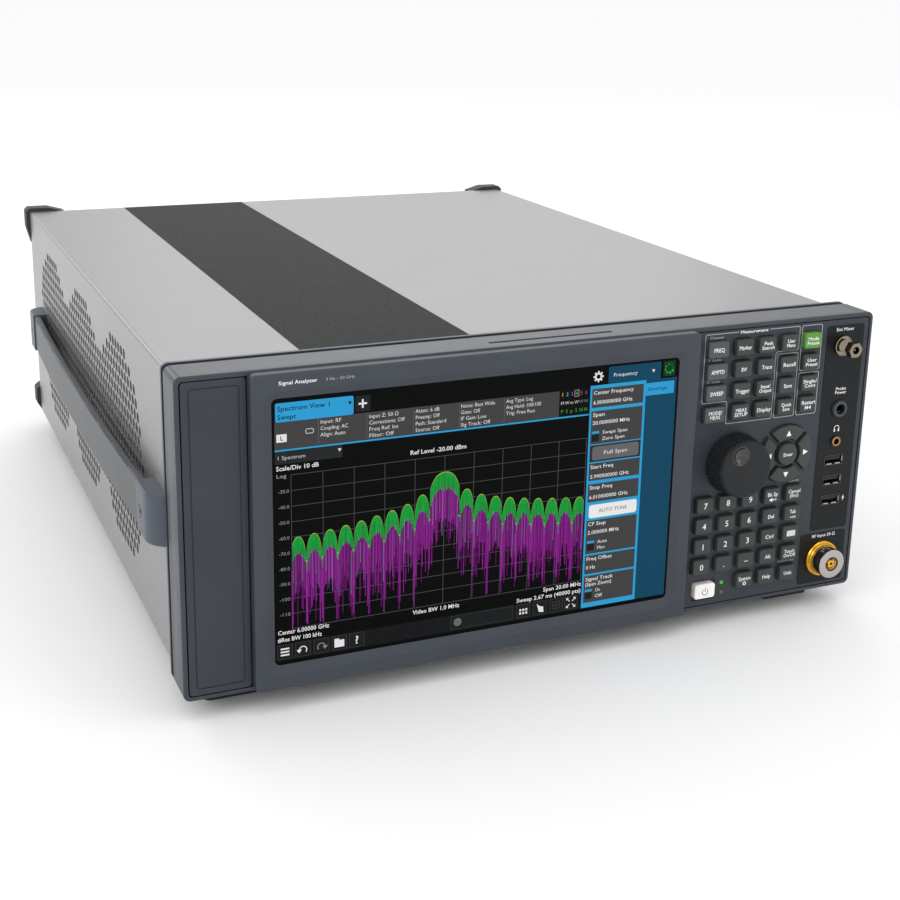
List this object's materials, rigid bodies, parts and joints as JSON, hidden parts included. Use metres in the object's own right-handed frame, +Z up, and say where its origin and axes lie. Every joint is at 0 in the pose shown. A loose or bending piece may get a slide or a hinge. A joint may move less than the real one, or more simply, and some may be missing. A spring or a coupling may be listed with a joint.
{
  "type": "spectrum analyzer",
  "caption": "Bench spectrum analyzer in a full-rack case with a touch display, keypad, tuning knob, front RF input and vented metal sleeve with side strap handles.",
  "frame": {"origin": "middle of the bounding box's bottom face, on the surface the feet stand on", "axes": "+X to the right seen from the front, +Y from the front panel to the rear, +Z up"},
  "size_m": [0.446, 0.561, 0.189],
  "materials": {
    "sleeve_paint": "fine-textured silver-grey paint, satin",
    "frame_slate": "dark slate paint, satin",
    "panel_slate": "fine-textured dark slate plastic",
    "bezel_slate": "fine-textured slate plastic",
    "trim_grey": "light grey plastic, satin",
    "overlay_black": "matt black film",
    "screen_glass": "clear glass over a black border",
    "screen_module": "dark plastic",
    "key_dark": "moulded dark grey plastic, satin",
    "key_mid": "moulded mid grey plastic, satin",
    "key_green": "moulded green plastic, satin",
    "key_white": "moulded white plastic",
    "knob_black": "soft-touch near-black moulding",
    "gold_plate": "polished gold plate",
    "connector_steel": "passivated stainless steel, turned",
    "socket_steel": "tin-plated steel",
    "socket_black": "moulded black plastic",
    "lamp_lens": "clear green lens",
    "strap_grey": "moulded grey vinyl over a steel core",
    "cap_grey": "moulded slate-grey plastic",
    "screw_steel": "blackened steel",
    "rubber_dark": "moulded dark grey rubber",
    "foot_grey": "moulded dark plastic",
    "chassis_steel": "zinc-plated sheet steel",
    "rear_paint": "satin grey paint",
    "board_green": "green circuit board",
    "screen_can": "plain aluminium cover",
    "fan_black": "moulded black plastic"
  },
  "bodies": {
    "root": {"outer_sleeve": "sleeve_paint", "front_frame": "frame_slate", "front_panel": "panel_slate", "display_bezel": "bezel_slate", "side_insert_panel": "panel_slate", "frame_trim_strips": "trim_grey", "connector_overlays": "overlay_black", "touch_glass": "screen_glass", "lcd_module": "screen_module", "keypad_board": "board_green", "rotary_encoder": "socket_steel", "rf_input_connector": "connector_steel", "rf_input_gold_fittings": "gold_plate", "ext_mixer_connector": "connector_steel", "probe_power_socket": "socket_steel", "headphone_jack": "socket_black", "usb_sockets": "socket_steel", "status_leds": "lamp_lens", "rear_panel": "rear_paint", "rear_bumpers": "rubber_dark", "bumper_screws": "screw_steel", "bottom_feet": "foot_grey", "strap_left": "strap_grey", "strap_right": "strap_grey", "strap_caps": "cap_grey", "strap_screws": "screw_steel", "chassis": "chassis_steel", "motherboard": "board_green", "plug_in_modules": "screen_can", "rf_front_end": "screen_can", "processor_module": "screen_can", "power_supply": "chassis_steel", "fan_frames": "fan_black", "rear_bnc_connectors": "connector_steel", "rear_data_ports": "socket_steel", "mains_inlet": "socket_black", "disk_bay": "chassis_steel"},
    "power_key": {"power_key": "key_white"},
    "enter_key": {"enter_key": "key_dark"},
    "preset_key": {"preset_key": "key_green"},
    "nav_up": {"nav_up": "key_dark"},
    "nav_left": {"nav_left": "key_dark"},
    "nav_down": {"nav_down": "key_dark"},
    "nav_right": {"nav_right": "key_dark"},
    "function_keys_column_1": {"function_keys_column_1": "key_mid"},
    "function_keys_column_2": {"function_keys_column_2": "key_dark"},
    "function_keys_column_3": {"function_keys_column_3": "key_dark"},
    "function_keys_column_4": {"function_keys_column_4": "key_dark"},
    "function_keys_column_5": {"function_keys_column_5": "key_dark"},
    "number_keys_column_1": {"number_keys_column_1": "key_dark"},
    "number_keys_column_2": {"number_keys_column_2": "key_dark"},
    "number_keys_column_3": {"number_keys_column_3": "key_dark"},
    "number_keys_column_4": {"number_keys_column_4": "key_dark"},
    "number_keys_column_5": {"number_keys_column_5": "key_dark"},
    "tuning_knob": {"tuning_knob": "knob_black"},
    "fan_rotor_left": {"fan_rotor_left": "fan_black"},
    "fan_rotor_right": {"fan_rotor_right": "fan_black"},
    "disk_drive": {"disk_drive": "socket_black"},
    "tilt_stand_left": {"tilt_stand_left": "foot_grey"},
    "tilt_stand_right": {"tilt_stand_right": "foot_grey"}
  },
  "joints": [
    {"name": "power_key_press", "type": "slide", "parent": "root", "child": "power_key", "axis": [0, 1, 0], "range_m": [0, 0.001], "stiffness_N_per_m": 600},
    {"name": "enter_key_press", "type": "slide", "parent": "root", "child": "enter_key", "axis": [0, 1, 0], "range_m": [0, 0.001], "stiffness_N_per_m": 600},
    {"name": "preset_key_press", "type": "slide", "parent": "root", "child": "preset_key", "axis": [0, 1, 0], "range_m": [0, 0.001], "stiffness_N_per_m": 600},
    {"name": "nav_up_press", "type": "slide", "parent": "root", "child": "nav_up", "axis": [0, 1, 0], "range_m": [0, 0.001], "stiffness_N_per_m": 600},
    {"name": "nav_left_press", "type": "slide", "parent": "root", "child": "nav_left", "axis": [0, 1, 0], "range_m": [0, 0.001], "stiffness_N_per_m": 600},
    {"name": "nav_down_press", "type": "slide", "parent": "root", "child": "nav_down", "axis": [0, 1, 0], "range_m": [0, 0.001], "stiffness_N_per_m": 600},
    {"name": "nav_right_press", "type": "slide", "parent": "root", "child": "nav_right", "axis": [0, 1, 0], "range_m": [0, 0.001], "stiffness_N_per_m": 600},
    {"name": "function_keys_column_1_press", "type": "slide", "parent": "root", "child": "function_keys_column_1", "axis": [0, 1, 0], "range_m": [0, 0.001], "stiffness_N_per_m": 600},
    {"name": "function_keys_column_2_press", "type": "slide", "parent": "root", "child": "function_keys_column_2", "axis": [0, 1, 0], "range_m": [0, 0.001], "stiffness_N_per_m": 600},
    {"name": "function_keys_column_3_press", "type": "slide", "parent": "root", "child": "function_keys_column_3", "axis": [0, 1, 0], "range_m": [0, 0.001], "stiffness_N_per_m": 600},
    {"name": "function_keys_column_4_press", "type": "slide", "parent": "root", "child": "function_keys_column_4", "axis": [0, 1, 0], "range_m": [0, 0.001], "stiffness_N_per_m": 600},
    {"name": "function_keys_column_5_press", "type": "slide", "parent": "root", "child": "function_keys_column_5", "axis": [0, 1, 0], "range_m": [0, 0.001], "stiffness_N_per_m": 600},
    {"name": "number_keys_column_1_press", "type": "slide", "parent": "root", "child": "number_keys_column_1", "axis": [0, 1, 0], "range_m": [0, 0.001], "stiffness_N_per_m": 600},
    {"name": "number_keys_column_2_press", "type": "slide", "parent": "root", "child": "number_keys_column_2", "axis": [0, 1, 0], "range_m": [0, 0.001], "stiffness_N_per_m": 600},
    {"name": "number_keys_column_3_press", "type": "slide", "parent": "root", "child": "number_keys_column_3", "axis": [0, 1, 0], "range_m": [0, 0.001], "stiffness_N_per_m": 600},
    {"name": "number_keys_column_4_press", "type": "slide", "parent": "root", "child": "number_keys_column_4", "axis": [0, 1, 0], "range_m": [0, 0.001], "stiffness_N_per_m": 600},
    {"name": "number_keys_column_5_press", "type": "slide", "parent": "root", "child": "number_keys_column_5", "axis": [0, 1, 0], "range_m": [0, 0.001], "stiffness_N_per_m": 600},
    {"name": "tuning_knob_spin", "type": "hinge", "parent": "root", "child": "tuning_knob", "pos_m": [0.118, -0.2645, 0.105], "axis": [0, -1, 0], "continuous": true},
    {"name": "fan_rotor_left_spin", "type": "hinge", "parent": "root", "child": "fan_rotor_left", "pos_m": [-0.025, 0.2455, 0.127], "axis": [0, 1, 0], "continuous": true},
    {"name": "fan_rotor_right_spin", "type": "hinge", "parent": "root", "child": "fan_rotor_right", "pos_m": [0.062, 0.2455, 0.127], "axis": [0, 1, 0], "continuous": true},
    {"name": "disk_drive_slide", "type": "slide", "parent": "root", "child": "disk_drive", "axis": [0, 1, 0], "range_m": [0, 0.11]},
    {"name": "tilt_stand_left_fold", "type": "hinge", "parent": "root", "child": "tilt_stand_left", "pos_m": [-0.18, -0.239, 0.0055], "axis": [1, 0, 0], "range_deg": [-100, 0]},
    {"name": "tilt_stand_right_fold", "type": "hinge", "parent": "root", "child": "tilt_stand_right", "pos_m": [0.18, -0.239, 0.0055], "axis": [1, 0, 0], "range_deg": [-100, 0]}
  ]
}
